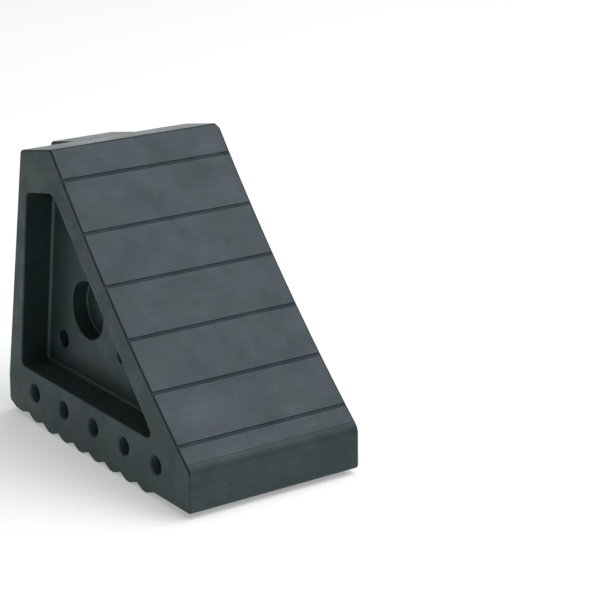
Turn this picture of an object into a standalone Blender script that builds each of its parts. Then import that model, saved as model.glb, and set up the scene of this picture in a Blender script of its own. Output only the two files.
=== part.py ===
"""Rubber wheel chock: a full-width wedge frame with a ribbed sole, a thinner core web that closes its
triangular window and leaves a pocket on each side, seven pads let into the ramp, and a lug behind the top.

Section coordinates are (x, z): x runs to the toe from where the back line, carried down, meets the ground.
The finished part has +X towards the toe, +Y across it, +Z up, and its origin at the bottom centre of its box.
"""

import math

import bmesh
import bpy
from mathutils import Matrix, Vector

# Overall wedge, in metres
BASE_LENGTH = 0.233
WIDTH = 0.131
RIDGE_HEIGHT = 0.2005
RIDGE_SETBACK = 0.0702
TOP_LENGTH = 0.0412
TOP_SLOPE = math.radians(12.2)
NOSE_HEIGHT = 0.0318
NOSE_SETBACK = 0.001
RAMP_SAG = 0.0051
TOE_HEIGHT = 0.0036

# Rounding of the outline and of its rims
TOE_RADIUS = 0.0025
NOSE_RADIUS = 0.009
RIDGE_RADIUS = 0.0025
TOP_RADIUS = 0.003
FOOT_RADIUS = 0.003
FOOT_BEND_RADIUS = 0.02
RIM_RADIUS = 0.001

# Foot of the back: upright, with a sloped underside up to the first rib
FOOT_SETBACK = 0.0042
FOOT_HEIGHT = 0.0078
FOOT_REACH = 0.0083

# Sole: ribs across the width, steeper on the side towards the heel; the sole lifts towards the heel
FIRST_RIB = 0.019
RIB_PITCH = 0.02
RIB_CREST = 0.004
RIB_DEPTH = 0.0033
VALLEY_SHARE = 0.53
PLAIN_TOE = 0.045
RISE_START = 0.059
RISE_SLOPE = math.radians(5)

# Window in the frame, measured from the outer faces
BASE_THICKNESS = 0.0388
BACK_WALL_TOP = 0.0099
BACK_WALL_BOTTOM = 0.0175
RAMP_WALL_TOP = 0.0192
RAMP_WALL_BOTTOM = 0.025
HEAD_THICKNESS = 0.0286
WINDOW_RADIUS = 0.0045
WINDOW_HEAD_RADIUS = 0.0085
POCKET_DEPTH = 0.0215

# Core web: one wide recess and three small holes in each face. Their places are shares of the pocket's
# length and height from its low back corner
RECESS_RADIUS = 0.02
RECESS_DEPTH = 0.012
RECESS_PLACE = (0.32, 0.4)
SMALL_HOLE_RADIUS = 0.0063
SMALL_HOLE_DEPTH = 0.02
SMALL_HOLE_PLACES = ((0.127, 0.165), (0.574, 0.25), (0.3, 0.75))

# Row of blind holes along each side of the base
SIDE_HOLE_RADIUS = 0.0063
SIDE_HOLE_DEPTH = 0.03
SIDE_HOLE_HEIGHT = 0.0233
SIDE_HOLE_FIRST = 0.0402
SIDE_HOLE_LAST = 0.04
SIDE_HOLE_COUNT = 5

# Ramp pads, measured along the ramp; the first and the last are shorter than the rest
PAD_COUNT = 7
FIRST_PAD = 0.0221
LAST_PAD = 0.0184
PAD_DEPTH = 0.0025
PAD_EDGE = 0.0005
GROOVE_WIDTH = 0.0018
NOSE_MARGIN = 0.005

# Rear lug, level with the top face
LUG_WIDTH = 0.05
LUG_REACH = 0.0328
LUG_ROOT = 0.009
LUG_ROOT_THICKNESS = 0.016
LUG_TIP_THICKNESS = 0.0095
LUG_RADIUS = 0.003

GAP = 0.0003
RAMP_STEPS = 12
CORNER_STEP = math.radians(24)
HOLE_SIDES = 40
CUTTER_SPARE = 0.01

# Corners of the section before rounding
BACK_FOOT = Vector((0.0, 0.0))
TOE = Vector((BASE_LENGTH, TOE_HEIGHT))
NOSE = Vector((BASE_LENGTH - NOSE_SETBACK, NOSE_HEIGHT))
RIDGE = Vector((RIDGE_SETBACK, RIDGE_HEIGHT))
BACKWARD = Vector((-math.cos(TOP_SLOPE), -math.sin(TOP_SLOPE)))
TOP_NORMAL = Vector((-math.sin(TOP_SLOPE), math.cos(TOP_SLOPE)))
TOP_BACK = RIDGE + BACKWARD * TOP_LENGTH
LUG_TIP = TOP_BACK + BACKWARD * LUG_REACH
FOOT_BEND = TOP_BACK * (FOOT_SETBACK / TOP_BACK.x)

RIB_COUNT = 1 + int((BASE_LENGTH - FIRST_RIB - PLAIN_TOE) / RIB_PITCH)
SIDE_HOLE_PITCH = (BASE_LENGTH - SIDE_HOLE_FIRST - SIDE_HOLE_LAST) / (SIDE_HOLE_COUNT - 1)

# The ramp is a shallow hollow arc from the ridge to the nose
RAMP_CHORD = NOSE - RIDGE
RAMP_NORMAL = Vector((-RAMP_CHORD.y, RAMP_CHORD.x)).normalized()
RAMP_RADIUS = (RAMP_CHORD.length_squared / 4 + RAMP_SAG**2) / (2 * RAMP_SAG)
RAMP_CENTRE = (RIDGE + NOSE) / 2 + RAMP_NORMAL * (RAMP_RADIUS - RAMP_SAG)
RAMP_LENGTH = 2 * RAMP_RADIUS * math.asin(RAMP_CHORD.length / 2 / RAMP_RADIUS)
PADS_END = RAMP_LENGTH - NOSE_MARGIN
PAD_PITCH = (RAMP_LENGTH - FIRST_PAD - LAST_PAD) / (PAD_COUNT - 2)


def ramp_point(distance, depth=0.0):
    """The point at a distance along the ramp from the ridge, and at a depth under its surface."""
    start = math.atan2(RIDGE.y - RAMP_CENTRE.y, RIDGE.x - RAMP_CENTRE.x)
    angle = start + distance / RAMP_RADIUS
    return RAMP_CENTRE + Vector((math.cos(angle), math.sin(angle))) * (RAMP_RADIUS + depth)


def ramp_points(first, last, depth=0.0):
    """Points along the ramp, closer than RAMP_LENGTH / RAMP_STEPS."""
    steps = max(2, math.ceil(abs(last - first) / RAMP_LENGTH * RAMP_STEPS))
    return [ramp_point(first + (last - first) * i / steps, depth) for i in range(steps + 1)]


def crossing(first, second):
    """Where two lines meet, each given by two points."""
    along = first[1] - first[0]
    other = second[1] - second[0]
    share = (second[0] - first[0]).cross(other) / along.cross(other)
    return first[0] + along * share


def rounded(corners):
    """Replaces each (point, radius) of a closed outline by an arc that touches both its sides."""
    points = []
    for i, (corner, radius) in enumerate(corners):
        if radius == 0:
            points.append(corner.copy())
            continue
        before = (corners[i - 1][0] - corner).normalized()
        after = (corners[(i + 1) % len(corners)][0] - corner).normalized()
        half = before.angle(after) / 2
        centre = corner + (before + after).normalized() * radius / math.sin(half)
        start = corner + before * radius / math.tan(half) - centre
        end = corner + after * radius / math.tan(half) - centre
        turn = math.atan2(start.cross(end), start.dot(end))
        steps = math.ceil(abs(turn) / CORNER_STEP)
        for step in range(steps + 1):
            spin = Matrix.Rotation(turn * step / steps, 2)
            points.append(centre + spin @ start)
    return points


def sole_point(x, height=0.0):
    """A point of the sole, which lifts towards the heel."""
    return Vector((x, height + max(0.0, RISE_START - x) * math.tan(RISE_SLOPE)))


def sole_corners():
    """From heel to toe: a flat crest, a long flank up to the valley, and a shorter flank down to the next."""
    corners = []
    for i in range(RIB_COUNT):
        middle = FIRST_RIB + i * RIB_PITCH
        start = FOOT_SETBACK + FOOT_REACH if i == 0 else middle - RIB_CREST / 2
        corners.append((sole_point(start), 0))
        corners.append((sole_point(middle + RIB_CREST / 2), 0))
        corners.append((sole_point(middle + VALLEY_SHARE * RIB_PITCH, RIB_DEPTH), 0))
    return corners


def frame_outline():
    corners = [(FOOT_BEND, FOOT_BEND_RADIUS), (Vector((FOOT_SETBACK, FOOT_HEIGHT)), FOOT_RADIUS)]
    corners += sole_corners() + [(TOE, TOE_RADIUS), (NOSE, NOSE_RADIUS)]
    corners += [(point, 0) for point in ramp_points(RAMP_LENGTH, 0)[1:-1]]
    corners += [(RIDGE, RIDGE_RADIUS), (TOP_BACK, TOP_RADIUS)]
    return rounded(corners)


def window_corners(inset=0.0):
    """The window, a triangle with its top cut off, or the same shape set in by a clearance."""
    up_the_back = (TOP_BACK - BACK_FOOT).normalized()
    into_back = Vector((up_the_back.y, -up_the_back.x))
    back_low = BACK_FOOT + into_back * (BACK_WALL_BOTTOM + inset)
    back = (back_low, TOP_BACK + into_back * (BACK_WALL_TOP + inset))
    ramp_high = RIDGE - RAMP_NORMAL * (RAMP_WALL_TOP + inset)
    ramp = (ramp_high, NOSE - RAMP_NORMAL * (RAMP_WALL_BOTTOM + inset))
    head = TOP_NORMAL * (HEAD_THICKNESS + inset)
    top = (RIDGE - head, TOP_BACK - head)
    floor = (Vector((0, BASE_THICKNESS + inset)), Vector((BASE_LENGTH, BASE_THICKNESS + inset)))
    return [crossing(back, floor), crossing(back, top), crossing(top, ramp), crossing(ramp, floor)]


def window_outline(inset=0.0):
    radii = [WINDOW_RADIUS, WINDOW_RADIUS, WINDOW_HEAD_RADIUS, WINDOW_RADIUS]
    return rounded([(corner, radius - inset) for corner, radius in zip(window_corners(inset), radii)])


def web_place(shares):
    """The point at these shares of the pocket's length and height."""
    low_back, top_back, _, low_toe = window_corners()
    return low_back + Vector((shares[0] * (low_toe.x - low_back.x), shares[1] * (top_back.y - low_back.y)))


def pad_outline(number):
    """Pad 1 carries the ridge and ends level with the top face; the others lie between two grooves."""
    floor_depth = PAD_DEPTH - GAP
    start = FIRST_PAD + (number - 2) * PAD_PITCH + GROOVE_WIDTH / 2
    end = FIRST_PAD + (number - 1) * PAD_PITCH - GROOVE_WIDTH / 2
    if number == PAD_COUNT:
        end = PADS_END - GAP
    if number == 1:
        floor = (ramp_point(0, floor_depth), ramp_point(end, floor_depth))
        first = [(crossing(floor, (RIDGE, TOP_BACK)), 0), (RIDGE, RIDGE_RADIUS)]
        start = 0
    else:
        first = [(ramp_point(start, floor_depth), 0), (ramp_point(start), 0)]
    surface = [(point, 0) for point in ramp_points(start, end)[1:-1]]
    last = [(ramp_point(end), 0), (ramp_point(end, floor_depth), 0)]
    underside = [(point, 0) for point in ramp_points(end, start, floor_depth)[1:-1]]
    return rounded(first + surface + last + underside)


def tray_outline():
    """The hollow in the ramp that takes the pads, open at the top face."""
    floor = ramp_points(PADS_END, 0, PAD_DEPTH)
    beyond = floor[-1] + (floor[-1] - floor[-2])
    rim = [ramp_point(0, -CUTTER_SPARE) + (beyond - floor[-1]), ramp_point(PADS_END, -CUTTER_SPARE)]
    return floor + [beyond] + rim


def lug_outline():
    """From its root in the head to its tip behind the back face, thinner towards the tip."""
    root = TOP_BACK - BACKWARD * LUG_ROOT
    depth = TOP_NORMAL * LUG_ROOT_THICKNESS
    under_back_face = crossing((root - depth, TOP_BACK - depth), (BACK_FOOT, TOP_BACK))
    return rounded(
        [
            (root, 0),
            (LUG_TIP, LUG_RADIUS),
            (LUG_TIP - TOP_NORMAL * LUG_TIP_THICKNESS, LUG_RADIUS),
            (under_back_face, 0),
            (root - depth, 0),
        ]
    )


def lug_seat_outline():
    """The notch in the head that the lug's root fits, open at the top and at the back."""
    inner = TOP_BACK - BACKWARD * (LUG_ROOT + GAP)
    outer = TOP_BACK + BACKWARD * CUTTER_SPARE
    up = TOP_NORMAL * CUTTER_SPARE
    down = TOP_NORMAL * (LUG_ROOT_THICKNESS + GAP)
    return [inner + up, outer + up, outer - down, inner - down]


# The box runs from the lug's tip, or from the foot where that is further back, to the toe
LUG_BACK = min(point.x for point in lug_outline())
CENTRE_X = (min(FOOT_SETBACK, LUG_BACK) + BASE_LENGTH) / 2


def rubber(name, color, roughness):
    material = bpy.data.materials.new(name)
    material.use_nodes = True
    shader = material.node_tree.nodes["Principled BSDF"]
    shader.inputs["Base Color"].default_value = (*color, 1)
    shader.inputs["Roughness"].default_value = roughness
    shader.inputs["Metallic"].default_value = 0
    material.diffuse_color = (*color, 1)
    return material


def collection(name, parent):
    made = bpy.data.collections.new(name)
    parent.children.link(made)
    return made


def extruded(name, width, outlines, home, rim=0.0):
    """A solid of this width across Y from section outlines; the second outline, if any, is a hole."""
    curve = bpy.data.curves.new(name, "CURVE")
    curve.dimensions = "2D"
    curve.fill_mode = "BOTH"
    curve.extrude = width / 2 - rim
    curve.bevel_depth = rim
    curve.bevel_resolution = 1
    curve.offset = -rim
    for points in outlines:
        spline = curve.splines.new("POLY")
        spline.points.add(len(points) - 1)
        spline.use_cyclic_u = True
        for place, point in zip(spline.points, points):
            place.co = (point.x - CENTRE_X, point.y, 0, 1)
    guide = bpy.data.objects.new(name, curve)
    bpy.context.scene.collection.objects.link(guide)
    guide.rotation_euler.x = math.pi / 2
    bpy.context.view_layer.update()
    graph = bpy.context.evaluated_depsgraph_get()
    mesh = bpy.data.meshes.new_from_object(guide.evaluated_get(graph))
    mesh.transform(guide.matrix_world)
    bpy.data.objects.remove(guide)
    bpy.data.curves.remove(curve)
    solid = bpy.data.objects.new(name, mesh)
    home.objects.link(solid)
    work = bmesh.new()
    work.from_mesh(mesh)
    bmesh.ops.remove_doubles(work, verts=work.verts, dist=1e-6)
    bmesh.ops.recalc_face_normals(work, faces=work.faces)
    work.to_mesh(mesh)
    work.free()
    return solid


def hole_cutters(name, places, radius, face, depth, home):
    """Blind holes of one depth into both faces at +Y and -Y."""
    length = depth + CUTTER_SPARE
    for number, (x, z) in enumerate(places, 1):
        for side in (-1, 1):
            mesh = bpy.data.meshes.new(f"{name}_{number}")
            work = bmesh.new()
            middle = side * (face - depth + length / 2)
            place = Matrix.Translation((x - CENTRE_X, middle, z)) @ Matrix.Rotation(math.pi / 2, 4, "X")
            bmesh.ops.create_cone(
                work,
                cap_ends=True,
                segments=HOLE_SIDES,
                radius1=radius,
                radius2=radius,
                depth=length,
                matrix=place,
            )
            work.to_mesh(mesh)
            work.free()
            home.objects.link(bpy.data.objects.new(mesh.name, mesh))


def cut(solid, cutters):
    modifier = solid.modifiers.new("Cut", "BOOLEAN")
    modifier.operation = "DIFFERENCE"
    modifier.solver = "EXACT"
    modifier.operand_type = "COLLECTION"
    modifier.collection = cutters
    for cutter in cutters.objects:
        cutter.hide_render = True
        cutter.display_type = "WIRE"


def finish(solid, material):
    solid.data.materials.clear()
    solid.data.materials.append(material)
    solid.data.shade_smooth()
    solid.data.set_sharp_from_angle(angle=math.radians(30))


def make_frame(parts, cutters):
    frame = extruded("wedge_frame", WIDTH, [frame_outline(), window_outline()], parts, RIM_RADIUS)
    home = collection("frame_cutters", cutters)
    extruded("pad_tray", WIDTH + 2 * CUTTER_SPARE, [tray_outline()], home)
    extruded("lug_seat", LUG_WIDTH + 2 * GAP, [lug_seat_outline()], home)
    row = [(SIDE_HOLE_FIRST + i * SIDE_HOLE_PITCH, SIDE_HOLE_HEIGHT) for i in range(SIDE_HOLE_COUNT)]
    hole_cutters("side_hole", row, SIDE_HOLE_RADIUS, WIDTH / 2, SIDE_HOLE_DEPTH, home)
    cut(frame, home)
    finish(frame, rubber("frame_rubber", (0.055, 0.061, 0.062), 0.6))


def make_web(parts, cutters):
    thickness = WIDTH - 2 * POCKET_DEPTH
    web = extruded("core_web", thickness, [window_outline(GAP)], parts)
    home = collection("web_cutters", cutters)
    face = thickness / 2
    small = [web_place(shares) for shares in SMALL_HOLE_PLACES]
    hole_cutters("recess", [web_place(RECESS_PLACE)], RECESS_RADIUS, face, RECESS_DEPTH, home)
    hole_cutters("web_hole", small, SMALL_HOLE_RADIUS, face, SMALL_HOLE_DEPTH, home)
    cut(web, home)
    finish(web, rubber("web_rubber", (0.03, 0.035, 0.035), 0.7))


def make_pads(parts):
    for number in range(1, PAD_COUNT + 1):
        pad = extruded(f"ramp_pad_{number}", WIDTH, [pad_outline(number)], parts)
        edges = pad.modifiers.new("Edges", "BEVEL")
        edges.width = PAD_EDGE
        edges.segments = 1
        edges.limit_method = "ANGLE"
        edges.angle_limit = math.radians(40)
        finish(pad, rubber(f"pad_{number}_rubber", (0.072, 0.081, 0.095), 0.55))


def make_lug(parts):
    lug = extruded("rear_lug", LUG_WIDTH, [lug_outline()], parts)
    finish(lug, rubber("lug_rubber", (0.06, 0.066, 0.068), 0.55))


def main():
    for thing in list(bpy.data.objects):
        bpy.data.objects.remove(thing)
    parts = collection("wheel_chock", bpy.context.scene.collection)
    cutters = collection("cutters", bpy.context.scene.collection)
    make_frame(parts, cutters)
    make_web(parts, cutters)
    make_pads(parts)
    make_lug(parts)


main()
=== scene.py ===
"""Rubber wheel chock: a moulded wedge with a hollow ramp of seven pads, ribbed sole, side pockets and lug.

Laid out as an add-on and run as a script. Every piece is modelled in the row frame, in metres: +X towards the
toe, +Y across the chock and +Z up from the ground.
"""

import math

import bmesh
import bpy
from mathutils import Matrix, Quaternion, Vector


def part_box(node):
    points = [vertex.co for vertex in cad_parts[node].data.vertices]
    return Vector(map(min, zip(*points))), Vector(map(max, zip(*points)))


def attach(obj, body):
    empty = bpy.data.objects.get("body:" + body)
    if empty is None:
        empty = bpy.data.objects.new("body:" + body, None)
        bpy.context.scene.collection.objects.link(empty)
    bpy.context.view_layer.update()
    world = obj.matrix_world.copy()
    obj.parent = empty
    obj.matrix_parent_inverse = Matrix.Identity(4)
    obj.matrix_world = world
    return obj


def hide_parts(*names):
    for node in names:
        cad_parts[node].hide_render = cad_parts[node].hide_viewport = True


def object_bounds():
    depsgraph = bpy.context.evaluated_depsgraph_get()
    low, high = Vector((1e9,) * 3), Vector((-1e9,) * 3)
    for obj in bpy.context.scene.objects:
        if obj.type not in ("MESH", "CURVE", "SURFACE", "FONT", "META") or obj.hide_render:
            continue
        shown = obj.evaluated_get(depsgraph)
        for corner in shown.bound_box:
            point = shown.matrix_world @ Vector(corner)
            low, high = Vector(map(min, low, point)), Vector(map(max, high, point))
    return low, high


bl_info = {
    "name": "Rubber wheel chock",
    "version": (1, 0, 0),
    "blender": (4, 5, 0),
    "location": "3D View > Sidebar > Wheel Chock",
    "description": "Models a moulded rubber wheel chock and its plain stage",
    "category": "Add Mesh",
}

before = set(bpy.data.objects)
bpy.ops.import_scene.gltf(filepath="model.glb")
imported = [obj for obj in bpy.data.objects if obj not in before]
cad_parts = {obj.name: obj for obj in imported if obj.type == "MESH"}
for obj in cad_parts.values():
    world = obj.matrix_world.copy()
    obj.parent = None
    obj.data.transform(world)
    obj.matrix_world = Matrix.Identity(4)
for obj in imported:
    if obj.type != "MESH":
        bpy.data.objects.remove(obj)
CAD_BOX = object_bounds()
FRAME_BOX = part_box("wedge_frame")
WEB_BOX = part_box("core_web")
LUG_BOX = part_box("rear_lug")
PAD_COUNT = sum(1 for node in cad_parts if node.startswith("ramp_pad_"))

ACROSS = Vector((0, 1, 0))
# How far a cutter reaches past what it cuts
SPARE = 0.01
# Under this angle two faces belong to one curve
FLAT_ANGLE = math.radians(30)
# Points this near each other are one
SAME_POINT = 1e-6
# Allowance when a place is compared with a size
SLACK = 1e-4

RAMP_STEPS = 32
PAD_STEPS = 24
HOLE_SEGMENTS = 56
FILLET_STEPS = 4

# Slots of the frame and the lug, and those of a pad, by the place that they colour
FRAME_RUBBERS = ("side_rubber", "pocket_shade_rubber", "groove_shade_and_rim_rubber", "top_rubber", "hole_bounce_light_rubber")
PAD_RUBBERS = ("side_rubber", "side_rubber", "ramp_rubber", "top_rubber", "groove_shade_and_rim_rubber")
# The pockets' slot holds painted shade, the grooved slot painted shade and dark rims, the drilled slot
# painted bounce light
SIDE, INSIDE, GROOVED, UPWARD, DRILLED = range(len(FRAME_RUBBERS))
PAD_FACE = PAD_RUBBERS.index("ramp_rubber")
PAD_RIM = PAD_RUBBERS.index("groove_shade_and_rim_rubber")

# Wear of the rounded places, as a share of a bare rim's, and on the web's fillets and mouths painted
# highlight; over the limit a face is part of a bare rim
BARE_RIM = 1.0
BARE_LIMIT = 0.9
FRAME_RIM_SHARE = 0.2
FLOOR_FILLET_HIGHLIGHT = 0.6
RECESS_FILLET_HIGHLIGHT = 0.8
MOUTH_HIGHLIGHT = 0.15

# Least share of a face's normal along a direction that it looks in
FACING = 0.97
WALL_FACING = 0.98
FLOOR_FACING = 0.99
SIDE_FACING = 0.9

# Places in the pocket's floor, as shares of its length and height
RECESS_PLACE = (0.32, 0.4)
SMALL_HOLE_PLACES = ((0.127, 0.165), (0.574, 0.25), (0.3, 0.75))

LAMP_PLACE = Vector((0.8, 1.3, 2.5))
LAMP_AIM = Vector((0, 0, 0.1))
LAMP_SIZE = 3.6
LAMP_POWER = 85.0
LAMP_COLOUR = (0.95, 0.98, 1.0)
SKY_COLOUR = (0.97, 0.985, 1.0, 1)
SKY_STRENGTH = 0.3
FLOOR_GLOW = 0.35

CAMERA_AZIMUTH = math.radians(53.87)
CAMERA_ELEVATION = math.radians(18.62)
CAMERA_ROLL = math.radians(0.6045)
CAMERA_DISTANCE = 1.327
CAMERA_LENS = 131.5
SENSOR_WIDTH = 36
AIM_PAST_TOE = 0.0223
AIM_HEIGHT = 0.1377


def length(name, description, default):
    return bpy.props.FloatProperty(
        name=name, description=description, default=default, min=0, precision=4, unit="LENGTH"
    )


def slope(name, description, degrees):
    return bpy.props.FloatProperty(
        name=name, description=description, default=math.radians(degrees), unit="ROTATION"
    )


def colour(name, description, default):
    return bpy.props.FloatVectorProperty(
        name=name, description=description, default=default, min=0, max=1, size=3, subtype="COLOR"
    )


class WedgeSizes(bpy.types.PropertyGroup):
    """Side view of the wedge, from the foot of its back line to its toe."""

    base_length: length("Base length", "From the back line's foot on the ground to the toe", 0.233)
    width: length("Width", "Across the chock", FRAME_BOX[1].y - FRAME_BOX[0].y)
    ridge_height: length("Ridge height", "Top of the ramp above the ground", 0.2005)
    ridge_setback: length("Ridge setback", "From the back line's foot to the ridge", 0.0702)
    top_length: length("Top length", "From the ridge to the back", 0.0412)
    top_slope: slope("Top slope", "Fall of the top face to the back", 12.2)
    nose_height: length("Nose height", "Foot of the ramp above the ground", 0.0318)
    nose_setback: length("Nose setback", "Lean of the nose face", 0.001)
    ramp_sag: length("Ramp sag", "Depth of the ramp's hollow", 0.0051)
    toe_height: length("Toe height", "Underside of the toe above the ground", 0.0036)
    toe_radius: length("Toe radius", "Rounding under the nose", 0.0025)
    nose_radius: length("Nose radius", "Rounding over the nose", 0.009)
    ridge_radius: length("Ridge radius", "Rounding of the ridge", 0.004)
    top_radius: length("Top radius", "Rounding between the top and the back", 0.003)
    foot_setback: length("Foot setback", "Upright foot of the back, from the back line's foot", 0.0042)
    foot_height: length("Foot height", "Lower end of the upright foot", 0.0078)
    foot_reach: length("Foot reach", "Length of the slope under the foot", 0.0083)
    foot_radius: length("Foot radius", "Rounding under the foot", 0.003)
    bend_radius: length("Bend radius", "Rounding where the back meets its foot", 0.02)
    rim_radius: length("Rim radius", "Rounding along the right side", 0.0012)
    corner_across: length("Corner across", "Worn left corner of the ridge, along the ridge", 0.0055)
    corner_along: length("Corner along", "Worn left corner of the ridge, down the ramp and the top", 0.004)
    far_rim_radius: length("Left rim radius", "Rounding along the left side", 0.002)


class SoleSizes(bpy.types.PropertyGroup):
    """Ribs of the sole."""

    first: length("First rib", "Middle of the rib nearest the heel", 0.019)
    pitch: length("Pitch", "From rib to rib", 0.02)
    crest: length("Crest", "Flat width of a rib", 0.004)
    depth: length("Depth", "Height of a rib", 0.0033)
    radius: length("Radius", "Rounding between two ribs", 0.0018)
    plain_toe: length("Plain toe", "Length without ribs at the toe", 0.045)
    valley: bpy.props.FloatProperty(
        name="Valley", description="Place of the valley in the pitch", default=0.53, min=0.3, max=0.8
    )
    rise_start: length("Rise start", "Where the sole starts to lift towards the heel", 0.059)
    rise_slope: slope("Rise slope", "Lift of the sole towards the heel", 5)


class PocketSizes(bpy.types.PropertyGroup):
    """Window of the frame, the web in it and their round holes."""

    base: length("Base", "Thickness under the pocket", 0.0388)
    back_top: length("Back wall top", "Thickness of the back wall at the top", 0.0099)
    back_bottom: length("Back wall bottom", "Thickness of the back wall at the bottom", 0.0175)
    ramp_top: length("Ramp wall top", "Thickness of the ramp wall at the top", 0.0192)
    ramp_bottom: length("Ramp wall bottom", "Thickness of the ramp wall at the bottom", 0.025)
    head: length("Head", "Thickness over the pocket", 0.0286)
    corner_radius: length("Corner radius", "Rounding of the pocket's corners", 0.0045)
    head_radius: length("Head radius", "Rounding of the pocket's corner under the ridge", 0.01)
    floor_radius: length("Floor radius", "Fillet round the pocket's floor", 0.0017)
    web: length("Web", "Thickness between the two pocket floors", WEB_BOX[1].y - WEB_BOX[0].y)
    recess_radius: length("Recess radius", "Wide round recess", 0.02)
    recess_depth: length("Recess depth", "Depth of the wide recess", 0.012)
    recess_fillet: length("Recess fillet", "Fillet round the recess floor", 0.0012)
    hole_radius: length("Web hole radius", "Small holes in the pocket's floor", 0.0063)
    hole_depth: length("Web hole depth", "Depth of the small holes", 0.02)
    side_radius: length("Side hole radius", "Holes along the base", 0.0063)
    side_depth: length("Side hole depth", "Depth of the holes along the base", 0.03)
    side_height: length("Side hole height", "Middle of the holes above the ground", 0.0233)
    side_first: length("First side hole", "From the back line's foot", 0.0402)
    side_last: length("Last side hole", "From the toe", 0.04)
    side_count: bpy.props.IntProperty(
        name="Side holes", description="Holes along each side", default=5, min=2
    )
    mouth_radius: length("Mouth radius", "Rounding of the holes' mouths", 0.0009)


class RampSizes(bpy.types.PropertyGroup):
    """Pads of the ramp, measured along it from the ridge."""

    first: length("First pad", "From the ridge to the first groove", 0.0226)
    last: length("Last pad", "From the last groove to the nose", 0.0183)
    depth: length("Depth", "Depth of the grooves", 0.0005)
    groove: length("Groove", "Width of the grooves at their floor", 0.0022)
    nose_margin: length("Nose margin", "From the last pad's end to the nose", 0.005)
    edge_radius: length("Edge radius", "Rounding of the pads along the grooves", 0.0003)


class LugSizes(bpy.types.PropertyGroup):
    """Lug behind the top face."""

    width: length("Width", "Across the lug", LUG_BOX[1].y - LUG_BOX[0].y)
    reach: length("Reach", "From the back to the lug's tip", 0.0328)
    root: length("Root thickness", "Thickness at the back", 0.016)
    tip: length("Tip thickness", "Thickness at the tip", 0.0095)
    radius: length("Radius", "Rounding of the lug", 0.0022)


class RubberColours(bpy.types.PropertyGroup):
    """Tones of the moulded rubber."""

    deep: colour("Deep", "Darkest rubber tone", (0.014, 0.024, 0.025))
    grey: colour("Grey", "Common rubber tone", (0.021, 0.035, 0.038))
    green: colour("Green", "Greenish bloom in patches", (0.023, 0.040, 0.038))
    # Painted shade: dark rubber of the pocket walls, also the web's deepest tone
    shade: colour("Shade", "Rubber inside the pockets and holes", (0.020, 0.030, 0.029))
    ramp_grey: colour("Ramp grey", "Common tone of the ramp", (0.037, 0.047, 0.052))
    ramp_deep: colour("Ramp deep", "Darkest tone of the ramp", (0.030, 0.041, 0.043))
    ramp_blue: colour("Ramp blue", "Bluish bloom of the ramp", (0.045, 0.050, 0.066))
    rim: colour("Rim", "Rims rubbed free of bloom", (0.006, 0.009, 0.014))
    # Painted shade: dark rubber for the grooves' floors and edges, also used on the rims along the ramp
    groove: colour("Groove", "Floor of the ramp's grooves", (0.0135, 0.019, 0.026))
    # Painted bounce light: lighter rubber inside the blind side holes
    hole_bounce_light: colour("Hole", "Dusty rubber inside the blind holes", (0.052, 0.074, 0.080))
    lilac: colour("Lilac", "Lilac bloom in a few places of the ramp", (0.058, 0.056, 0.088))
    # Painted highlight: light rubber on the web's fillets and hole mouths
    fillet: colour("Fillet", "Polished fillets in the pockets", (0.105, 0.13, 0.127))
    worn: colour("Worn", "Wear and highlight marks and scuffs", (0.080, 0.088, 0.092))
    floor: colour("Floor", "Plain pale floor", (0.9, 0.9, 0.9))


class ChockSettings(bpy.types.PropertyGroup):
    """All the sizes and colours."""

    wedge: bpy.props.PointerProperty(type=WedgeSizes)
    sole: bpy.props.PointerProperty(type=SoleSizes)
    pocket: bpy.props.PointerProperty(type=PocketSizes)
    ramp: bpy.props.PointerProperty(type=RampSizes)
    lug: bpy.props.PointerProperty(type=LugSizes)
    colours: bpy.props.PointerProperty(type=RubberColours)


def crossing(first, second):
    """Where two lines of the side view meet, each given by two points."""
    along = first[1] - first[0]
    other = second[1] - second[0]
    gap = second[0] - first[0]
    share = (gap.x * other.z - gap.z * other.x) / (along.x * other.z - along.z * other.x)
    return first[0] + along * share


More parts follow.
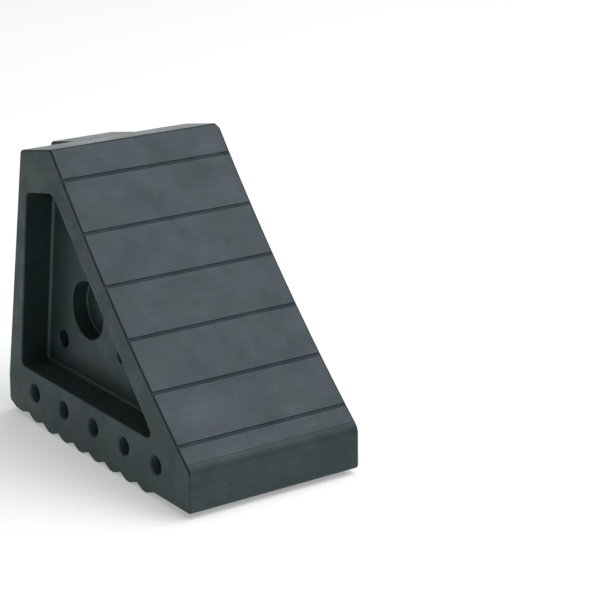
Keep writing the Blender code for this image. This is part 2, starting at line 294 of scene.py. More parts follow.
class SideView:
    """Points of the chock's side view, in the plane y = 0."""

    def __init__(self, settings):
        self.wedge = wedge = settings.wedge
        self.sole = settings.sole
        self.pocket = settings.pocket
        self.pads = settings.ramp
        self.heel_x = FRAME_BOX[1].x - wedge.base_length
        self.back_foot = self.point(0, 0)
        self.toe = self.point(wedge.base_length, wedge.toe_height)
        self.nose = self.point(wedge.base_length - wedge.nose_setback, wedge.nose_height)
        self.ridge = self.point(wedge.ridge_setback, wedge.ridge_height)
        self.backward = Vector((-math.cos(wedge.top_slope), 0, -math.sin(wedge.top_slope)))
        self.top_normal = Vector((-math.sin(wedge.top_slope), 0, math.cos(wedge.top_slope)))
        self.top_back = self.ridge + self.backward * wedge.top_length
        chord = self.nose - self.ridge
        self.ramp_normal = Vector((-chord.z, 0, chord.x)).normalized()
        sag = wedge.ramp_sag
        self.ramp_radius = (chord.length_squared / 4 + sag**2) / (2 * sag)
        self.ramp_centre = (self.ridge + self.nose) / 2 + self.ramp_normal * (self.ramp_radius - sag)
        self.ramp_length = 2 * self.ramp_radius * math.asin(chord.length / 2 / self.ramp_radius)

    def point(self, x, z):
        return Vector((self.heel_x + x, 0, z))

    def ramp_point(self, distance, depth=0.0):
        """At a distance along the ramp from the ridge and at a depth under its surface."""
        arm = (self.ridge - self.ramp_centre).normalized() * (self.ramp_radius + depth)
        return self.ramp_centre + Matrix.Rotation(-distance / self.ramp_radius, 3, "Y") @ arm

    def sole_corners(self):
        """Crests and valleys from heel to toe, each (point, radius), lifted towards the heel."""
        sole = self.sole
        count = 1 + int((self.wedge.base_length - sole.first - sole.plain_toe) / sole.pitch)
        corners = []
        for rib in range(count):
            middle = sole.first + rib * sole.pitch
            start = middle - sole.crest / 2
            if rib == 0:
                start = self.wedge.foot_setback + self.wedge.foot_reach
            for x, height, radius in (
                (start, 0, 0),
                (middle + sole.crest / 2, 0, 0),
                (middle + sole.valley * sole.pitch, sole.depth, sole.radius),
            ):
                lift = max(0.0, sole.rise_start - x) * math.tan(sole.rise_slope)
                corners.append((self.point(x, height + lift), radius))
        return corners

    def window(self):
        """Corners of the window, a triangle with its top cut off, from its low back corner."""
        pocket = self.pocket
        up_the_back = (self.top_back - self.back_foot).normalized()
        into_back = Vector((up_the_back.z, 0, -up_the_back.x))
        back = (
            self.back_foot + into_back * pocket.back_bottom,
            self.top_back + into_back * pocket.back_top,
        )
        ramp = (
            self.ridge - self.ramp_normal * pocket.ramp_top,
            self.nose - self.ramp_normal * pocket.ramp_bottom,
        )
        down = self.top_normal * pocket.head
        top = (self.ridge - down, self.top_back - down)
        floor = (self.point(0, pocket.base), self.point(self.wedge.base_length, pocket.base))
        return [crossing(back, floor), crossing(back, top), crossing(top, ramp), crossing(ramp, floor)]

    def rounded_window(self):
        """The window's corners with their radii; the corner under the ridge is the widest."""
        common = self.pocket.corner_radius
        return list(zip(self.window(), (common, common, self.pocket.head_radius, common)))

    def web_place(self, share_x, share_z):
        """The point at these shares of the pocket's length and height."""
        low_back, top_back, _, low_toe = self.window()
        length_in = share_x * (low_toe.x - low_back.x)
        height_in = share_z * (top_back.z - low_back.z)
        return low_back + Vector((length_in, 0, height_in))

    def pads_end(self):
        """Where the last pad ends, along the ramp."""
        return self.ramp_length - self.pads.nose_margin

    def pad_pitch(self):
        """From groove to groove; the first and the last pad have lengths of their own."""
        return (self.ramp_length - self.pads.first - self.pads.last) / (PAD_COUNT - 2)


def round_corners(work, corners, segments):
    """Rounds corners of a flat face, each (vertex, radius)."""
    corners = [(vert, radius) for vert, radius in corners if radius]
    tangents = []
    for vert, radius in corners:
        arms = [edge.other_vert(vert).co - vert.co for edge in vert.link_edges]
        tangents.append(radius / math.tan(arms[0].angle(arms[1]) / 2))
    for (vert, _), offset in zip(corners, tangents):
        bmesh.ops.bevel(
            work,
            geom=[vert],
            offset=offset,
            offset_type="OFFSET",
            affect="VERTICES",
            segments=segments,
            profile=0.5,
            material=-1,
        )


def drawn_across(work, faces, low, high):
    """Draws flat faces of the side view out across the chock, from y = low to y = high."""
    bmesh.ops.translate(work, verts=work.verts, vec=ACROSS * low)
    made = bmesh.ops.extrude_face_region(work, geom=faces)["geom"]
    moved = [part for part in made if isinstance(part, bmesh.types.BMVert)]
    bmesh.ops.translate(work, verts=moved, vec=ACROSS * (high - low))
    bmesh.ops.recalc_face_normals(work, faces=work.faces)


def new_piece(name, work):
    """An object at the origin with the finished mesh."""
    mesh = bpy.data.meshes.new(name)
    work.to_mesh(mesh)
    work.free()
    piece = bpy.data.objects.new(name, mesh)
    bpy.context.scene.collection.objects.link(piece)
    return piece


def prism(name, corners, low, high, segments=4):
    """A solid across the chock from side-view corners, each (point, radius)."""
    work = bmesh.new()
    verts = [work.verts.new(point) for point, _ in corners]
    work.faces.new(verts)
    round_corners(work, [(v, r) for v, (_, r) in zip(verts, corners)], segments)
    drawn_across(work, work.faces[:], low, high)
    return new_piece(name, work)


def ramp_block(view, name, start, end, depth, width):
    """A solid that follows the ramp between two distances, from well over it to a depth under it."""
    work = bmesh.new()
    edge = work.edges.new([work.verts.new(view.ramp_point(start, level)) for level in (-SPARE, depth)])
    steps = max(2, math.ceil((end - start) / view.ramp_length * PAD_STEPS))
    angle = -(end - start) / view.ramp_radius
    bmesh.ops.spin(work, geom=[edge], cent=view.ramp_centre, axis=ACROSS, angle=angle, steps=steps)
    drawn_across(work, work.faces[:], -width / 2, width / 2)
    return new_piece(name, work)


def drill(name, place, radius, low, high, fillet=0.0):
    """A round cutter across the chock; a fillet rounds its end nearer the middle."""
    work = bmesh.new()
    turned = Matrix.Translation(place) @ Matrix.Rotation(math.pi / 2, 4, "X")
    bmesh.ops.create_circle(work, cap_ends=True, radius=radius, segments=HOLE_SEGMENTS, matrix=turned)
    drawn_across(work, work.faces[:], low, high)
    if fillet:
        inner = min(abs(low), abs(high))
        bmesh.ops.bevel(
            work,
            geom=[edge for edge in work.edges if at_width(edge, inner, SAME_POINT)],
            offset=fillet,
            offset_type="OFFSET",
            affect="EDGES",
            segments=FILLET_STEPS,
            profile=0.5,
            material=-1,
        )
    return new_piece(name, work)


def joined_cut(piece, cutters, operation="DIFFERENCE", keep=False):
    """Cuts each cutter out of the piece, or keeps what they share, and applies that to its mesh."""
    for cutter in cutters:
        modifier = piece.modifiers.new(cutter.name, "BOOLEAN")
        modifier.operation = operation
        modifier.solver = "EXACT"
        modifier.object = cutter
    bpy.context.view_layer.update()
    finished = piece.evaluated_get(bpy.context.evaluated_depsgraph_get())
    cut = bpy.data.meshes.new_from_object(finished)
    piece.modifiers.clear()
    old = piece.data
    cut.name = old.name
    piece.data = cut
    bpy.data.meshes.remove(old)
    if not keep:
        for cutter in cutters:
            bpy.data.objects.remove(cutter)
    if not len(cut.polygons):
        raise RuntimeError(f"{piece.name} was cut away")


def give_slots(piece, index):
    """Makes room for every rubber, puts all faces in one slot and starts their wear at nothing."""
    for _ in FRAME_RUBBERS:
        piece.data.materials.append(None)
    piece.data.polygons.foreach_set("material_index", [index] * len(piece.data.polygons))
    piece.data.attributes.new("wear_and_highlight", "FLOAT", "FACE")


def face_towards(piece, direction, index):
    """Puts the faces that look this way in a material slot."""
    for face in piece.data.polygons:
        if face.normal.dot(direction) > FACING:
            face.material_index = index


def is_corner(edge):
    """Whether two faces meet at more than a curve's angle."""
    return len(edge.link_faces) == 2 and edge.calc_face_angle(0) > FLAT_ANGLE


def soften(piece, wanted, radius, segments=3, clamp=True):
    """Rounds the corner edges that the test accepts, and marks the new faces as bare rims."""
    work = bmesh.new()
    work.from_mesh(piece.data)
    bmesh.ops.remove_doubles(work, verts=work.verts, dist=SAME_POINT)
    wear_and_highlight = work.faces.layers.float.get("wear_and_highlight") or work.faces.layers.float.new("wear_and_highlight")
    edges = [edge for edge in work.edges if is_corner(edge) and wanted(edge)]
    if not edges:
        raise RuntimeError(f"{piece.name} has no edge to soften")
    made = bmesh.ops.bevel(
        work,
        geom=edges,
        offset=radius,
        offset_type="OFFSET",
        affect="EDGES",
        segments=segments,
        profile=0.5,
        material=-1,
        clamp_overlap=clamp,
    )
    for face in made["faces"]:
        face[wear_and_highlight] = BARE_RIM
    work.to_mesh(piece.data)
    work.free()


def at_width(edge, half, slack=2e-5):
    """Whether an edge lies in one of the planes at this distance from the middle."""
    return all(abs(abs(vert.co.y) - half) < slack for vert in edge.verts)


def cut_corner(work, view):
    """Takes the worn left corner off the ridge."""
    wedge = view.wedge
    corner = view.ridge + ACROSS * wedge.width / 2
    along_ridge = -ACROSS * wedge.corner_across
    down_ramp = view.ramp_point(wedge.corner_along) - view.ridge
    first = corner + along_ridge
    second = corner + down_ramp
    third = corner + view.backward * wedge.corner_along
    normal = (second - first).cross(third - first)
    if normal.y < 0:
        normal.negate()
    parts = work.verts[:] + work.edges[:] + work.faces[:]
    cut = bmesh.ops.bisect_plane(work, geom=parts, plane_co=first, plane_no=normal, clear_outer=True)
    rim = [part for part in cut["geom_cut"] if isinstance(part, bmesh.types.BMEdge) and part.is_boundary]
    bmesh.ops.holes_fill(work, edges=rim, sides=0)
    bmesh.ops.recalc_face_normals(work, faces=work.faces)


def whole_wedge(view, name):
    """The moulding without web, grooves and lug: outline, window, side holes and rounded rims."""
    wedge = view.wedge
    pocket = view.pocket
    half = wedge.width / 2
    work = bmesh.new()
    ridge = work.verts.new(view.ridge)
    angle = -view.ramp_length / view.ramp_radius
    bmesh.ops.spin(work, geom=[ridge], cent=view.ramp_centre, axis=ACROSS, angle=angle, steps=RAMP_STEPS)
    nose = min(work.verts, key=lambda vert: (vert.co - view.nose).length)
    foot_bend = view.back_foot + (view.top_back - view.back_foot) * (
        wedge.foot_setback / (view.top_back.x - view.back_foot.x)
    )
    corners = [(view.toe, wedge.toe_radius)] + view.sole_corners()[::-1]
    corners += [(view.point(wedge.foot_setback, wedge.foot_height), wedge.foot_radius)]
    corners += [(foot_bend, wedge.bend_radius), (view.top_back, wedge.top_radius)]
    verts = [work.verts.new(point) for point, _ in corners]
    for first, second in zip([nose] + verts, verts + [ridge]):
        work.edges.new((first, second))
    bmesh.ops.contextual_create(work, geom=work.edges[:])
    rounded = [(vert, radius) for vert, (_, radius) in zip(verts, corners)]
    rounded += [(nose, wedge.nose_radius), (ridge, wedge.ridge_radius)]
    round_corners(work, rounded, segments=5)
    drawn_across(work, work.faces[:], -half, half)
    cut_corner(work, view)
    piece = new_piece(name, work)
    cutters = [prism("window", view.rounded_window(), -half - SPARE, half + SPARE)]
    pitch = (wedge.base_length - pocket.side_first - pocket.side_last) / (pocket.side_count - 1)
    for number in range(pocket.side_count):
        place = view.point(pocket.side_first + number * pitch, pocket.side_height)
        for side in (-1, 1):
            ends = sorted((side * (half - pocket.side_depth), side * (half + SPARE)))
            cutters.append(drill(f"side_hole_{number}_{side}", place, pocket.side_radius, *ends))
    give_slots(piece, SIDE)
    for cutter in cutters:
        # The window's walls take the pockets' painted shade, the side holes' walls painted bounce light
        give_slots(cutter, INSIDE if cutter.name == "window" else DRILLED)
    joined_cut(piece, cutters)
    for side, radius in ((-1, wedge.rim_radius), (1, wedge.far_rim_radius)):

        def rim(edge):
            return at_width(edge, half) and edge.verts[0].co.y * side > 0

        soften(piece, rim, radius, clamp=False)
    wear_and_highlight = piece.data.attributes["wear_and_highlight"].data
    for face in piece.data.polygons:
        out = Vector((face.center.x, 0, face.center.z)) - view.ramp_centre
        if abs(out.length - view.ramp_radius) > 2 * wedge.rim_radius:
            wear_and_highlight[face.index].value *= FRAME_RIM_SHARE
        elif wear_and_highlight[face.index].value:
            face.material_index = GROOVED
    return piece


def near(point, centre, radius):
    """Inside a circle of the side view."""
    return (Vector((point.x, 0, point.z)) - centre).length < radius


def shaded(piece, rubbers=FRAME_RUBBERS):
    """Fills the slots with their rubbers and shades smooth between the corners."""
    kept = [polygon.material_index for polygon in piece.data.polygons]
    piece.data.materials.clear()
    for name in rubbers:
        piece.data.materials.append(bpy.data.materials[name])
    piece.data.polygons.foreach_set("material_index", kept)
    piece.data.shade_smooth()
    piece.data.set_sharp_from_angle(angle=FLAT_ANGLE)
    weighted = piece.modifiers.new("Even shading", "WEIGHTED_NORMAL")
    weighted.keep_sharp = True
    weighted.weight = 100


def add_node(tree, kind, label, **values):
    """A shader node with its label and its settings."""
    node = tree.nodes.new(kind)
    node.label = label
    for setting, value in values.items():
        setattr(node, setting, value)
    return node


def noise(tree, label, coords, scale, detail=2.0, roughness=0.5, distortion=0.0):
    """A cloudy pattern from 0 to 1."""
    node = add_node(tree, "ShaderNodeTexNoise", label)
    tree.links.new(coords, node.inputs["Vector"])
    node.inputs["Scale"].default_value = scale
    node.inputs["Detail"].default_value = detail
    node.inputs["Roughness"].default_value = roughness
    node.inputs["Distortion"].default_value = distortion
    return node.outputs["Fac"]


def stretched(tree, label, coords, scale):
    """Coordinates with a scale of their own along each axis."""
    node = add_node(tree, "ShaderNodeMapping", label)
    tree.links.new(coords, node.inputs["Vector"])
    node.inputs["Scale"].default_value = scale
    return node.outputs["Vector"]


def spread(tree, label, value, low, high, to_low=0.0, to_high=1.0):
    """A soft step of the value between low and high, from to_low to to_high."""
    node = add_node(tree, "ShaderNodeMapRange", label, interpolation_type="SMOOTHSTEP")
    tree.links.new(value, node.inputs["Value"])
    node.inputs["From Min"].default_value = low
    node.inputs["From Max"].default_value = high
    node.inputs["To Min"].default_value = to_low
    node.inputs["To Max"].default_value = to_high
    return node.outputs["Result"]


def arithmetic(tree, label, operation, first, second):
    """A sum on two values, each a number or a socket."""
    node = add_node(tree, "ShaderNodeMath", label, operation=operation)
    for socket, value in zip(node.inputs, (first, second)):
        if isinstance(value, (int, float)):
            socket.default_value = value
        else:
            tree.links.new(value, socket)
    return node.outputs["Value"]


def blended(tree, label, share, first, second):
    """From the first tone to the second by a share; a tone is a colour or a socket."""
    node = add_node(tree, "ShaderNodeMix", label, data_type="RGBA")
    tree.links.new(share, node.inputs["Factor"])
    first_socket, second_socket = [socket for socket in node.inputs if socket.type == "RGBA"]
    for socket, value in ((first_socket, first), (second_socket, second)):
        if isinstance(value, bpy.types.NodeSocket):
            tree.links.new(value, socket)
        else:
            socket.default_value = (*value, 1)
    return next(socket for socket in node.outputs if socket.type == "RGBA")


def bumped(tree, label, height, strength, distance, normal=None):
    """Relief from a pattern, laid over the relief before it."""
    node = add_node(tree, "ShaderNodeBump", label)
    tree.links.new(height, node.inputs["Height"])
    node.inputs["Strength"].default_value = strength
    node.inputs["Distance"].default_value = distance
    if normal:
        tree.links.new(normal, node.inputs["Normal"])
    return node.outputs["Normal"]


def rubber(
    name,
    colours,
    tones,
    wear_and_highlight_tone,
    scuffs,
    roughness=0.5,
    wear_and_highlight_strength=0.8,
    specular=0.4,
    relief=1.0,
    sheen=0.3,
    spots=(),
):
    """Moulded rubber: cloudy tone, bloom in patches, grain, shallow unevenness, scuffs and a tone on marked
    faces.

    The tones are the deepest, the common one and the bloom's. Relief scales the specks and the bumps.
    Marked faces take the wear and highlight tone: rubbed rims, and on the web's fillets and mouths a painted
    highlight.
    Each spot is (place, radius, tone): a soft cloud of that tone.
    """
    deep_tone, main_tone, bloom_tone = tones
    material = bpy.data.materials.new(name)
    material.use_nodes = True
    tree = material.node_tree
    shader = tree.nodes["Principled BSDF"]
    coords = add_node(tree, "ShaderNodeTexCoord", "Place").outputs["Object"]

    cloud = noise(tree, "Cloud", coords, scale=26, detail=6, roughness=0.62)
    cloudy = spread(tree, "Cloud spread", cloud, 0.32, 0.62)
    tone = blended(tree, "Cloudy tone", cloudy, deep_tone, main_tone)
    bloom = noise(tree, "Bloom", coords, scale=42, detail=4, roughness=0.6, distortion=0.4)
    patches = spread(tree, "Bloom patches", bloom, 0.42, 0.62, 0.0, 0.85)
    tone = blended(tree, "Bloomed tone", patches, tone, bloom_tone)
    for place, radius, spot_tone in spots:
        away = add_node(tree, "ShaderNodeVectorMath", "Away from the spot", operation="DISTANCE")
        tree.links.new(coords, away.inputs[0])
        away.inputs[1].default_value = place
        spot_cloud = arithmetic(tree, "Spot cloud", "ADD", cloud, 0.5)
        ragged = arithmetic(tree, "Ragged spot", "MULTIPLY", spot_cloud, away.outputs["Value"])
        inside = spread(tree, "Inside the spot", ragged, radius * 0.3, radius, 0.65, 0.0)
        tone = blended(tree, "Spotted tone", inside, tone, spot_tone)

    long = stretched(tree, "Long", coords, (330, 11, 330))
    soft = noise(tree, "Soft streaks", long, scale=1, detail=4, roughness=0.65)
    streaks = spread(tree, "Streak spread", soft, 0.42, 0.7, 0.0, scuffs)
    places = noise(tree, "Places", coords, scale=21, detail=3)
    where = spread(tree, "Scuffed places", places, 0.48, 0.64)
    streaks = arithmetic(tree, "Streaks in places", "MULTIPLY", streaks, where)
    tone = blended(tree, "Streaked tone", streaks, tone, colours.worn)
    speckle = noise(tree, "Speckle", coords, scale=900, detail=2, roughness=0.7)
    specks = spread(tree, "Specks", speckle, 0.6, 0.78, 0.0, 0.25 * relief)
    tone = blended(tree, "Speckled tone", specks, tone, colours.worn)
    drawn_out = stretched(tree, "Drawn out", coords, (520, 14, 520))
    along = noise(tree, "Scuffs", drawn_out, scale=1, detail=3, roughness=0.6)
    thin = spread(tree, "Thin lines", along, 0.56, 0.72)
    lines = arithmetic(tree, "Scuff lines", "MULTIPLY", thin, where)
    scuff_share = arithmetic(tree, "Scuff share", "MULTIPLY", lines, scuffs)
    tone = blended(tree, "Scuffed tone", scuff_share, tone, colours.worn)

    # Marked faces: rims take a rubbed tone; on the web the fillets and mouths take a painted highlight
    wear_and_highlight = add_node(tree, "ShaderNodeAttribute", "Wear and highlight marks", attribute_name="wear_and_highlight").outputs["Fac"]
    wearing = noise(tree, "Wear", coords, scale=160, detail=4, roughness=0.65)
    broken = spread(tree, "Broken wear", wearing, 0.3, 0.6, 0.7, 1.0)
    edge = arithmetic(tree, "Edge wear and highlight", "MULTIPLY", wear_and_highlight, broken)
    wear_and_highlight_share = arithmetic(tree, "Wear and highlight share", "MULTIPLY", edge, wear_and_highlight_strength)
    tone = blended(tree, "Worn and highlighted tone", wear_and_highlight_share, tone, wear_and_highlight_tone)
    tree.links.new(tone, shader.inputs["Base Color"])

    satin = noise(tree, "Sheen", coords, scale=48, detail=5, roughness=0.6)
    rough = spread(tree, "Roughness", satin, 0.3, 0.7, roughness - 0.07, roughness + 0.09)
    smoother = arithmetic(tree, "Rubbed smoother", "MULTIPLY", edge, 0.1)
    rough = arithmetic(tree, "Final roughness", "SUBTRACT", rough, smoother)
    tree.links.new(rough, shader.inputs["Roughness"])

    hollows = noise(tree, "Uneven", coords, scale=55, detail=3)
    surface = bumped(tree, "Unevenness", hollows, strength=0.35 * relief, distance=0.0009)
    pits = noise(tree, "Pitting", coords, scale=420, detail=3, roughness=0.6)
    surface = bumped(tree, "Pits", pits, strength=0.3 * relief, distance=0.00022, normal=surface)
    grain = noise(tree, "Fine grain", coords, scale=1700, detail=2, roughness=0.6)
    surface = bumped(tree, "Grain", grain, strength=0.28 * relief, distance=0.00011, normal=surface)
    if scuffs:
        surface = bumped(tree, "Scuff relief", lines, strength=0.2, distance=0.0001, normal=surface)
    tree.links.new(surface, shader.inputs["Normal"])

    shader.inputs["Specular IOR Level"].default_value = specular
    shader.inputs["Specular Tint"].default_value = (0.8, 0.97, 1.0, 1)
    shader.inputs["Sheen Weight"].default_value = sheen
    shader.inputs["Sheen Roughness"].default_value = 0.22
    shader.inputs["Sheen Tint"].default_value = (0.95, 0.98, 1.0, 1)


def mix_frame_rubbers(view, settings):
    """The rubbers of the frame, the pads and the lug; two pads have a lilac cloud."""
    colours = settings.colours
    first_pad = settings.ramp.first
    side_tones = (colours.deep, colours.grey, colours.green)
    ramp_tones = (colours.ramp_deep, colours.ramp_grey, colours.ramp_blue)
    # Painted shade: the pocket walls take darker tones than the sides
    pocket_shade_tones = (colours.shade, colours.deep, colours.grey)
    on_pad_six = view.ramp_point(first_pad + 4.5 * view.pad_pitch()) - ACROSS * 0.032
    on_pad_one = view.ramp_point(first_pad / 2) - ACROSS * 0.012
    spots = [(on_pad_six, 0.034, colours.lilac), (on_pad_one, 0.024, colours.lilac)]
    rubber("side_rubber", colours, side_tones, colours.rim, scuffs=0.2)
    # Painted shade: darker rubber on the pocket walls
    rubber(
        "pocket_shade_rubber",
        colours,
        pocket_shade_tones,
        colours.worn,
        scuffs=0.0,
        roughness=0.42,
        wear_and_highlight_strength=0.1,
        specular=0.35,
        relief=0.06,
    )
    rubber("ramp_rubber", colours, ramp_tones, colours.rim, scuffs=0.3, roughness=0.47, spots=spots)
    rubber("top_rubber", colours, side_tones, colours.rim, scuffs=0.2, roughness=0.3, relief=0.3, sheen=0.8)
    # Painted shade: the grooves' floors and edges; the rims along the ramp take it too
    rubber(
        "groove_shade_and_rim_rubber",
        colours,
        [colours.groove] * 3,
        colours.rim,
        scuffs=0.0,
        roughness=0.55,
        wear_and_highlight_strength=0.3,
        specular=0.32,
        relief=0.5,
        sheen=0.17,
    )
    # Painted bounce light: lighter rubber on the walls of the blind side holes
    hole_bounce_light_tones = [colours.hole_bounce_light] * 3
    rubber(
        "hole_bounce_light_rubber",
        colours,
        hole_bounce_light_tones,
        colours.worn,
        scuffs=0.0,
        roughness=0.6,
        wear_and_highlight_strength=0.1,
        specular=0.5,
    )


class WHEELCHOCK_OT_frame(bpy.types.Operator):
    """Models the full-width wedge with its window, side holes, ribbed sole and the tray of the ramp pads"""

    bl_idname = "wheelchock.frame"
    bl_label = "Wedge frame"

    def execute(self, context):
        settings = context.scene.wheelchock
        view = SideView(settings)
        piece = whole_wedge(view, "chock_frame")
        width = settings.wedge.width + 2 * SPARE
        tray = ramp_block(view, "tray", -SPARE, view.pads_end(), settings.ramp.depth, width)
        # The tray's faces become the grooves' floors, in painted shade
        give_slots(tray, GROOVED)
        joined_cut(piece, [tray])
        mix_frame_rubbers(view, settings)
        face_towards(piece, view.top_normal, UPWARD)
        shaded(piece)
        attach(piece, "root")
        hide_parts("wedge_frame")
        return {"FINISHED"}


class WHEELCHOCK_OT_web(bpy.types.Operator):
    """Models the thinner web that closes the window, with its wide recess and small holes"""

    bl_idname = "wheelchock.web"
    bl_label = "Core web"

    def execute(self, context):
        settings = context.scene.wheelchock
        view = SideView(settings)
        pocket = settings.pocket
        colours = settings.colours
        face = pocket.web / 2
        rise = pocket.floor_radius
        piece = prism("chock_web", view.rounded_window(), -face - rise, face + rise)
        work = bmesh.new()
        work.from_mesh(piece.data)
        wear_and_highlight = work.faces.layers.float.new("wear_and_highlight")
        ends = [side for side in work.faces if abs(side.normal.y) > FLOOR_FACING]
        # Painted highlight along the fillet round the web's floor
        for step in range(FILLET_STEPS):
            start, end = (math.pi / 2 * (step + i) / FILLET_STEPS for i in (0, 1))
            inward = rise * (math.cos(start) - math.cos(end))
            down = rise * (math.sin(end) - math.sin(start))
            ring = bmesh.ops.inset_region(
                work, faces=ends, thickness=inward, depth=-down, use_even_offset=True
            )
            for bend in ring["faces"]:
                bend[wear_and_highlight] = FLOOR_FILLET_HIGHLIGHT
        work.to_mesh(piece.data)
        work.free()
        recess = (pocket.recess_radius, pocket.recess_depth, pocket.recess_fillet)
        rounds = [(view.web_place(*RECESS_PLACE), *recess)]
        for shares in SMALL_HOLE_PLACES:
            rounds.append((view.web_place(*shares), pocket.hole_radius, pocket.hole_depth, 0))
        cutters = []
        for number, (place, radius, depth, fillet) in enumerate(rounds):
            for side in (-1, 1):
                low, high = sorted((side * (face - depth), side * (face + SPARE)))
                cutters.append(drill(f"web_hole_{number}_{side}", place, radius, low, high, fillet))
        joined_cut(piece, cutters)

        def mouth(edge):
            return at_width(edge, face) and any(
                near(edge.verts[0].co, place, radius + SLACK) for place, radius, _, _ in rounds
            )

        soften(piece, mouth, pocket.mouth_radius)
        wear_and_highlight = piece.data.attributes["wear_and_highlight"].data
        centre, radius, depth, fillet = rounds[0]
        # Painted highlight on the holes' mouths and the recess fillet
        for bend in piece.data.polygons:
            above_floor = abs(bend.center.y) - face + depth
            if wear_and_highlight[bend.index].value > BARE_LIMIT:
                wear_and_highlight[bend.index].value = MOUTH_HIGHLIGHT
            if near(bend.center, centre, radius + SLACK) and SLACK < above_floor < fillet:
                wear_and_highlight[bend.index].value = RECESS_FILLET_HIGHLIGHT
        tones = (colours.shade, colours.grey, colours.green)
        # The web's fillet tone paints highlights on its fillets and mouths
        rubber(
            "core_rubber_with_highlights", colours, tones, colours.fillet, scuffs=0.1, roughness=0.45, wear_and_highlight_strength=0.7, relief=0.8
        )
        shaded(piece, ["core_rubber_with_highlights"])
        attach(piece, "root")
        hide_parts("core_web")
        return {"FINISHED"}


class WHEELCHOCK_OT_pads(bpy.types.Operator):
    """Models the pads between the ramp's grooves"""

    bl_idname = "wheelchock.pads"
    bl_label = "Ramp pads"

    def execute(self, context):
        settings = context.scene.wheelchock
        view = SideView(settings)
        ramp = settings.ramp
        whole = whole_wedge(view, "whole_wedge")
        pitch = view.pad_pitch()
        width = settings.wedge.width + 2 * SPARE
        along = (view.nose - view.ridge).normalized()

        def groove_edge(edge):
            """The top edge of a groove's wall, away from the ridge and the pad's underside."""
            walls = [face for face in edge.link_faces if abs(face.normal.dot(along)) > WALL_FACING]
            arms = [(vert.co - view.ramp_centre) * Vector((1, 0, 1)) for vert in edge.verts]
            deep = all(arm.length > view.ramp_radius + ramp.depth - SLACK for arm in arms)
            from_ridge = min((vert.co - view.ridge).dot(along) for vert in edge.verts)
            at_ridge = from_ridge < settings.wedge.ridge_radius
            return len(walls) == 1 and not deep and not at_ridge

        for number in range(1, PAD_COUNT + 1):
            start = -SPARE
            end = view.pads_end()
            if number > 1:
                start = ramp.first + (number - 2) * pitch + ramp.groove / 2
            if number < PAD_COUNT:
                end = ramp.first + (number - 1) * pitch - ramp.groove / 2
            pad = ramp_block(view, f"chock_pad_{number}", start, end, ramp.depth, width)
            give_slots(pad, SIDE)
            joined_cut(pad, [whole], "INTERSECT", keep=True)
            soften(pad, groove_edge, ramp.edge_radius)
            wear_and_highlight = pad.data.attributes["wear_and_highlight"].data
            for face in pad.data.polygons:
                if wear_and_highlight[face.index].value > BARE_LIMIT:
                    # Groove edges take the grooves' painted shade
                    face.material_index = PAD_RIM
                elif abs(face.normal.y) > SIDE_FACING:
                    face.material_index = SIDE
                else:
                    face.material_index = PAD_FACE
            face_towards(pad, view.top_normal, UPWARD)
            shaded(pad, PAD_RUBBERS)
            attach(pad, "root")
            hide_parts(f"ramp_pad_{number}")
        bpy.data.objects.remove(whole)
        return {"FINISHED"}


class WHEELCHOCK_OT_lug(bpy.types.Operator):
    """Models the lug behind the top face"""

    bl_idname = "wheelchock.lug"
    bl_label = "Rear lug"

    def execute(self, context):
        settings = context.scene.wheelchock
        view = SideView(settings)
        lug = settings.lug
        tip = view.top_back + view.backward * lug.reach
        root = view.top_back - view.backward * settings.wedge.top_radius
        under = view.top_normal * lug.root
        at_back = crossing((root - under, view.top_back - under), (view.back_foot, view.top_back))
        outline = (root, tip, tip - view.top_normal * lug.tip, at_back, root - under)
        corners = [(point, 0) for point in outline]
        piece = prism("chock_lug", corners, -lug.width / 2, lug.width / 2)
        free_part = view.top_back.x - 0.01

        def reaches_out(edge):
            return any(vert.co.x < free_part for vert in edge.verts)

        soften(piece, reaches_out, lug.radius, segments=4)
        give_slots(piece, SIDE)
        face_towards(piece, view.top_normal, UPWARD)
        shaded(piece)
        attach(piece, "root")
        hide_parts("rear_lug")
        return {"FINISHED"}


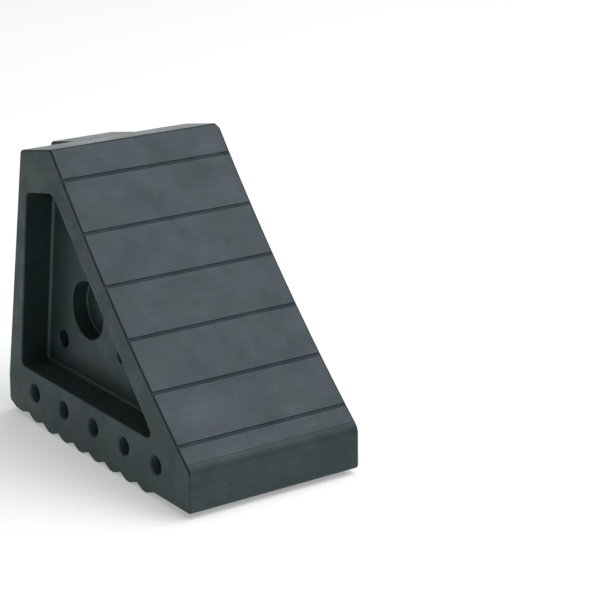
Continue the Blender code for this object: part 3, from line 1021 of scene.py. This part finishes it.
class WHEELCHOCK_OT_stage(bpy.types.Operator):
    """Sets the pale floor, the soft studio light and the camera"""

    bl_idname = "wheelchock.stage"
    bl_label = "Stage"

    def execute(self, context):
        scene = context.scene
        work = bmesh.new()
        bmesh.ops.create_grid(work, x_segments=4, y_segments=4, size=6)
        floor = new_piece("floor", work)
        pale = bpy.data.materials.new("pale_floor")
        pale.use_nodes = True
        tree = pale.node_tree
        coords = add_node(tree, "ShaderNodeTexCoord", "Place").outputs["Object"]
        tint = noise(tree, "Faint cloud", coords, 3, 4)
        base = scene.wheelchock.colours.floor
        tone = blended(tree, "Pale tone", tint, base, [0.985 * channel for channel in base])
        shader = tree.nodes["Principled BSDF"]
        tree.links.new(tone, shader.inputs["Base Color"])
        tree.links.new(tone, shader.inputs["Emission Color"])
        shader.inputs["Emission Strength"].default_value = FLOOR_GLOW
        shader.inputs["Roughness"].default_value = 0.9
        shader.inputs["Specular IOR Level"].default_value = 0.1
        floor.data.materials.append(pale)

        world = bpy.data.worlds.new("studio")
        world.use_nodes = True
        sky = world.node_tree.nodes["Background"]
        sky.inputs["Color"].default_value = SKY_COLOUR
        sky.inputs["Strength"].default_value = SKY_STRENGTH
        scene.world = world

        light = bpy.data.lights.new("overhead", "AREA")
        light.size = LAMP_SIZE
        light.energy = LAMP_POWER
        light.color = LAMP_COLOUR
        lamp = bpy.data.objects.new("overhead", light)
        lamp.location = LAMP_PLACE
        lamp.rotation_mode = "QUATERNION"
        lamp.rotation_quaternion = (LAMP_AIM - LAMP_PLACE).to_track_quat("-Z", "Y")
        scene.collection.objects.link(lamp)

        forward = math.cos(CAMERA_ELEVATION)
        back = Vector(
            (
                math.sin(CAMERA_AZIMUTH) * forward,
                -math.cos(CAMERA_AZIMUTH) * forward,
                math.sin(CAMERA_ELEVATION),
            )
        )
        camera = bpy.data.cameras.new("camera")
        camera.lens = CAMERA_LENS
        camera.sensor_width = SENSOR_WIDTH
        eye = bpy.data.objects.new("camera", camera)
        eye.location = Vector((CAD_BOX[1].x + AIM_PAST_TOE, 0, AIM_HEIGHT)) + back * CAMERA_DISTANCE
        eye.rotation_mode = "QUATERNION"
        eye.rotation_quaternion = (-back).to_track_quat("-Z", "Y") @ Quaternion((0, 0, 1), CAMERA_ROLL)
        scene.collection.objects.link(eye)
        scene.camera = eye
        scene.view_settings.view_transform = "Standard"
        return {"FINISHED"}


STEPS = (WHEELCHOCK_OT_frame, WHEELCHOCK_OT_web, WHEELCHOCK_OT_pads, WHEELCHOCK_OT_lug, WHEELCHOCK_OT_stage)


class WHEELCHOCK_PT_panel(bpy.types.Panel):
    """Sizes, colours and making steps of the wheel chock"""

    bl_idname = "WHEELCHOCK_PT_panel"
    bl_label = "Wheel Chock"
    bl_space_type = "VIEW_3D"
    bl_region_type = "UI"
    bl_category = "Wheel Chock"

    def draw(self, context):
        settings = context.scene.wheelchock
        for group in ("wedge", "sole", "pocket", "ramp", "lug", "colours"):
            box = self.layout.box()
            box.label(text=group.capitalize())
            held = getattr(settings, group)
            for name in held.__annotations__:
                box.prop(held, name)
        for step in STEPS:
            self.layout.operator(step.bl_idname)


CLASSES = (
    WedgeSizes,
    SoleSizes,
    PocketSizes,
    RampSizes,
    LugSizes,
    RubberColours,
    ChockSettings,
    *STEPS,
    WHEELCHOCK_PT_panel,
)


def register():
    for cls in CLASSES:
        bpy.utils.register_class(cls)
    bpy.types.Scene.wheelchock = bpy.props.PointerProperty(type=ChockSettings)


def unregister():
    del bpy.types.Scene.wheelchock
    for cls in reversed(CLASSES):
        bpy.utils.unregister_class(cls)


def main():
    register()
    bpy.ops.wheelchock.frame()
    bpy.ops.wheelchock.web()
    bpy.ops.wheelchock.pads()
    bpy.ops.wheelchock.lug()
    bpy.ops.wheelchock.stage()


if __name__ == "__main__":
    main()
